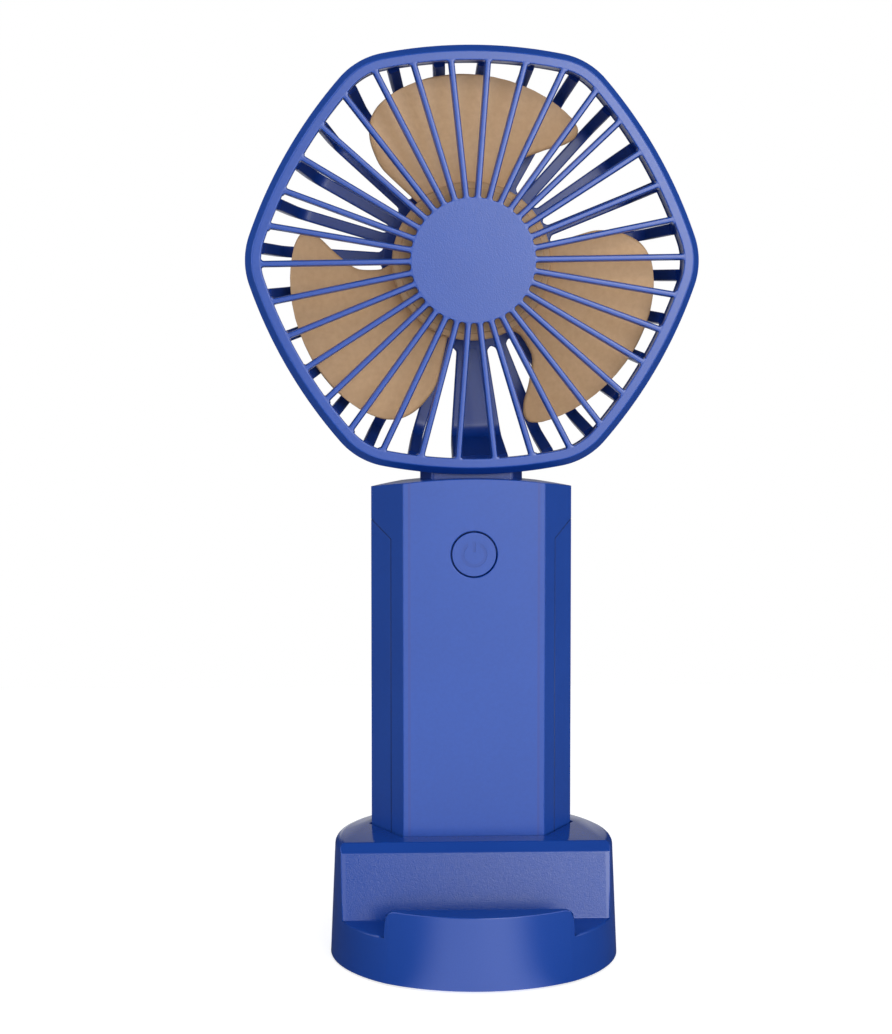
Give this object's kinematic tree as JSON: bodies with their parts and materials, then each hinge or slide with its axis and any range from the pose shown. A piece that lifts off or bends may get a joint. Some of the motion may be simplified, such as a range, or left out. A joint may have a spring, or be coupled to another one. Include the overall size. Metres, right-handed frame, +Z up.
{
  "type": "usb mini fan",
  "caption": "Small battery table fan with a bowed hexagonal grille head and a hexagonal handle that stands in a round dock with a phone rest.",
  "frame": {"origin": "on the table under the middle of the round dock", "axes": "+Z up, -Y is the front of the fan and of the phone rest, +X to the right as seen from the front"},
  "size_m": [0.0904, 0.0561, 0.1797],
  "materials": {
    "blue_matte": "satin, fine grain",
    "blue_gloss": "satin gloss",
    "navy": "satin",
    "tan": "matte",
    "black_plastic": "matte",
    "board_green": "lacquered",
    "red_plastic": "smooth",
    "rubber": "matte",
    "steel": "brushed",
    "brass": "turned",
    "copper": "bare",
    "magnet": "sintered"
  },
  "bodies": {
    "dock": {"dock_shell": "blue_gloss", "dock_ballast": "steel", "dock_plate": "navy", "foot_pad": "rubber", "dock_screws": "steel"},
    "fan": {"handle_front": "blue_matte", "handle_rear": "blue_matte", "front_grille": "blue_matte", "front_spokes": "blue_matte", "rear_grille": "navy", "rear_back": "navy", "motor_seat": "navy", "motor_can": "steel", "motor_end_cap": "black_plastic", "motor_magnets": "magnet", "motor_brushes": "copper", "motor_bushes": "brass", "motor_lead_red": "red_plastic", "motor_lead_black": "black_plastic", "control_board": "board_green", "switch_body": "black_plastic", "board_screws": "steel", "usb_board": "board_green", "usb_shell": "steel", "usb_tongue": "black_plastic", "board_leads": "red_plastic", "battery_cell": "blue_gloss", "battery_tabs": "steel", "battery_lead_red": "red_plastic", "battery_lead_black": "black_plastic", "handle_screws": "steel"},
    "impeller": {"impeller": "tan", "motor_shaft": "steel", "rotor_core": "steel", "rotor_windings": "copper", "commutator": "copper"},
    "button": {"button_cap": "blue_gloss", "switch_plunger": "black_plastic"}
  },
  "joints": [
    {"name": "fan_lift", "type": "slide", "parent": "dock", "child": "fan", "axis": [0, 0, 1], "range_m": [0, 0.05]},
    {"name": "impeller_spin", "type": "hinge", "parent": "fan", "child": "impeller", "pos_m": [0, 0.0115, 0.1372], "axis": [0, 1, 0], "continuous": true},
    {"name": "button_press", "type": "slide", "parent": "fan", "child": "button", "axis": [0, 1, 0], "range_m": [0, 0.0006], "stiffness_N_per_m": 2000}
  ]
}
